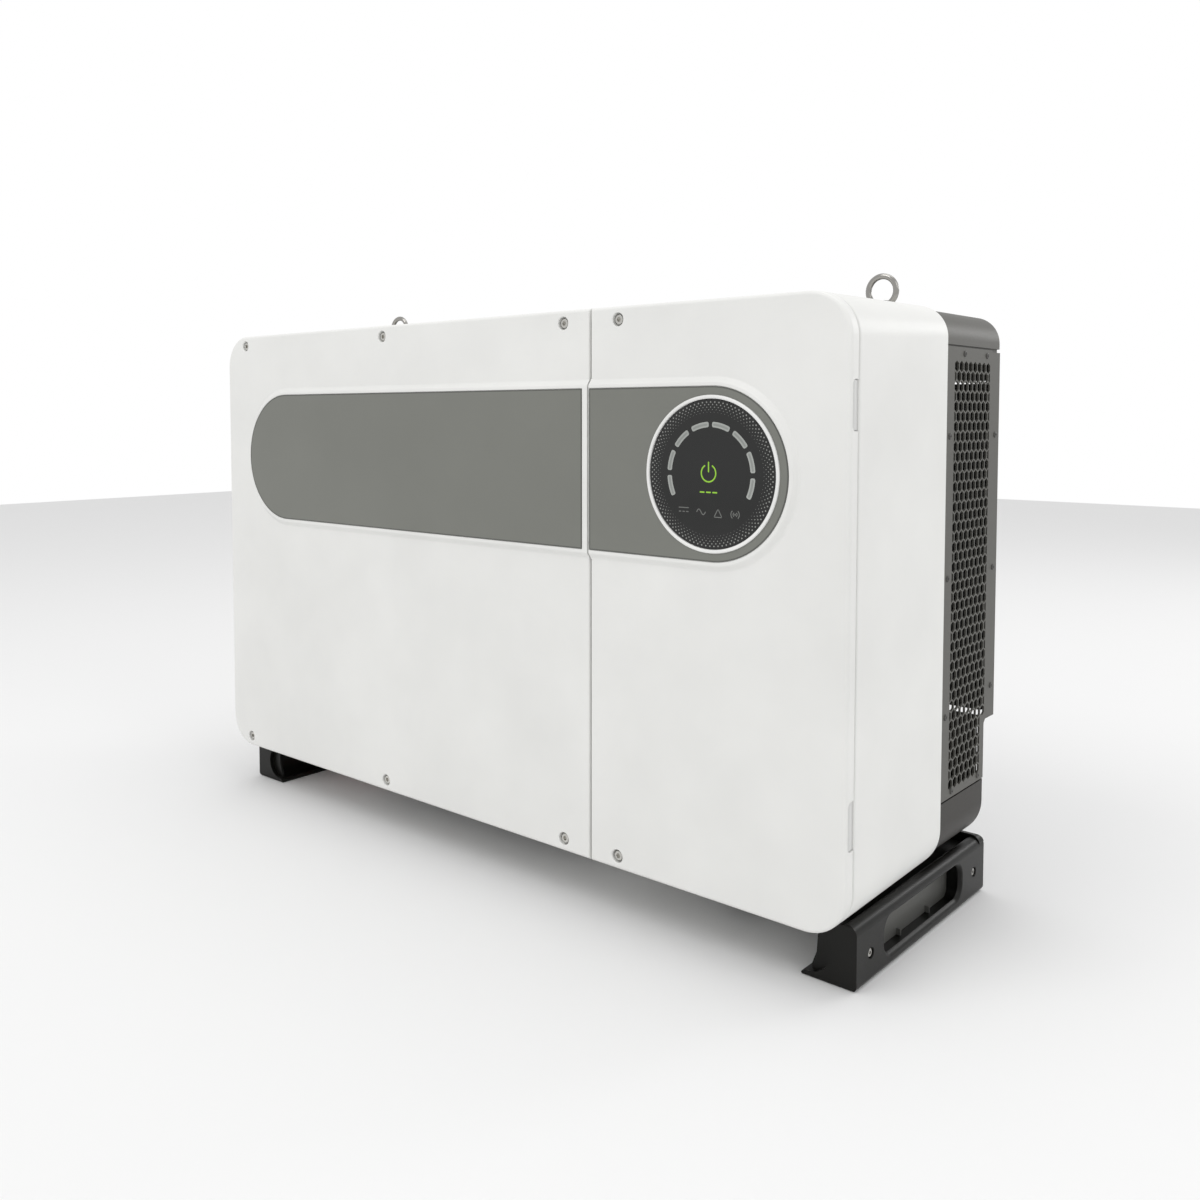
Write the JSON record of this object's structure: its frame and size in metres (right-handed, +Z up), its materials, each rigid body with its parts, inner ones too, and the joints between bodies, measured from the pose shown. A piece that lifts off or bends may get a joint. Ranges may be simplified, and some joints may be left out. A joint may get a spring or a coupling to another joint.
{
  "type": "string inverter",
  "caption": "Wall or rack mounted solar string inverter with a raised front panel, round status display, hinged wiring door, side-blown finned heat sink, lifting eyes and carrying feet.",
  "frame": {"origin": "on the floor, under the centre of the bounding box", "axes": "+X to the right of someone facing the display, +Y from the front covers to the wall side, +Z up"},
  "size_m": [0.97, 0.3618, 0.674],
  "materials": {
    "white_paint": "fine-textured white powder coat",
    "grey_label": "satin grey polycarbonate overlay",
    "dark_paint": "fine-textured dark grey powder coat",
    "dark_plastic": "matt moulded plastic",
    "black_paint": "matt black powder coat",
    "stainless": "bright stainless steel",
    "aluminium": "mill-finish aluminium",
    "bezel_plastic": "semi-gloss white plastic",
    "display_glass": "dark glossy display window",
    "gasket_rubber": "matt black foam rubber",
    "circuit_board": "green solder mask",
    "component_plastic": "matt black plastic",
    "terminal_plastic": "grey moulded plastic",
    "choke_resin": "cast potting resin"
  },
  "bodies": {
    "case": {"power_cover": "white_paint", "hinge_bracket_lower": "white_paint", "hinge_bracket_upper": "white_paint", "housing": "white_paint", "label_left": "grey_label", "power_cover_gasket": "gasket_rubber", "wiring_door_gasket": "gasket_rubber", "power_board": "circuit_board", "control_board": "circuit_board", "cover_screw_1": "stainless", "cover_screw_2": "stainless", "cover_screw_3": "stainless", "cover_screw_4": "stainless", "cover_screw_5": "stainless", "cover_screw_6": "stainless", "eye_bolt_left": "stainless", "eye_bolt_right": "stainless", "earth_stud": "stainless", "partition": "aluminium", "heat_sink": "aluminium", "fan_plate": "aluminium", "foot_left": "dark_plastic", "foot_right": "dark_plastic", "duct_top": "dark_paint", "duct_bottom": "dark_paint", "grille_left": "dark_paint", "grille_right": "dark_paint", "fan_frame_1": "component_plastic", "fan_frame_2": "component_plastic", "fan_frame_3": "component_plastic", "power_module_1": "component_plastic", "power_module_2": "component_plastic", "power_module_3": "component_plastic", "dc_link_bank": "component_plastic", "relay_board": "component_plastic", "dc_switch_body_1": "component_plastic", "dc_switch_body_2": "component_plastic", "dc_connector_block": "component_plastic", "ac_gland": "component_plastic", "comm_port_cap": "component_plastic", "vent_valve": "component_plastic", "rear_plate": "black_paint", "boost_chokes": "choke_resin", "ac_terminal_block": "terminal_plastic", "surge_block": "terminal_plastic"},
    "door": {"wiring_door": "white_paint", "label_right": "grey_label", "display_bezel": "bezel_plastic", "display_window": "display_glass", "display_board": "circuit_board", "door_screw_upper": "stainless", "door_screw_lower": "stainless", "hinge_pin_upper": "stainless", "hinge_pin_lower": "stainless"},
    "fan_1": {"fan_rotor_1": "component_plastic"},
    "fan_2": {"fan_rotor_2": "component_plastic"},
    "fan_3": {"fan_rotor_3": "component_plastic"},
    "switch_1": {"dc_switch_knob_1": "component_plastic"},
    "switch_2": {"dc_switch_knob_2": "component_plastic"}
  },
  "joints": [
    {"name": "door_swing", "type": "hinge", "parent": "case", "child": "door", "pos_m": [0.4795, -0.1664, 0.35], "axis": [0, 0, 1], "range_deg": [0, 110]},
    {"name": "fan_spin_1", "type": "hinge", "parent": "case", "child": "fan_1", "pos_m": [-0.443, 0.1036, 0.2765], "axis": [1, 0, 0], "continuous": true},
    {"name": "fan_spin_2", "type": "hinge", "parent": "case", "child": "fan_2", "pos_m": [-0.443, 0.1036, 0.3965], "axis": [1, 0, 0], "continuous": true},
    {"name": "fan_spin_3", "type": "hinge", "parent": "case", "child": "fan_3", "pos_m": [-0.443, 0.1036, 0.5165], "axis": [1, 0, 0], "continuous": true},
    {"name": "dc_switch_turn_1", "type": "hinge", "parent": "case", "child": "switch_1", "pos_m": [-0.4, -0.0454, 0.05], "axis": [0, 0, 1], "range_deg": [0, 90]},
    {"name": "dc_switch_turn_2", "type": "hinge", "parent": "case", "child": "switch_2", "pos_m": [-0.33, -0.0454, 0.05], "axis": [0, 0, 1], "range_deg": [0, 90]}
  ]
}
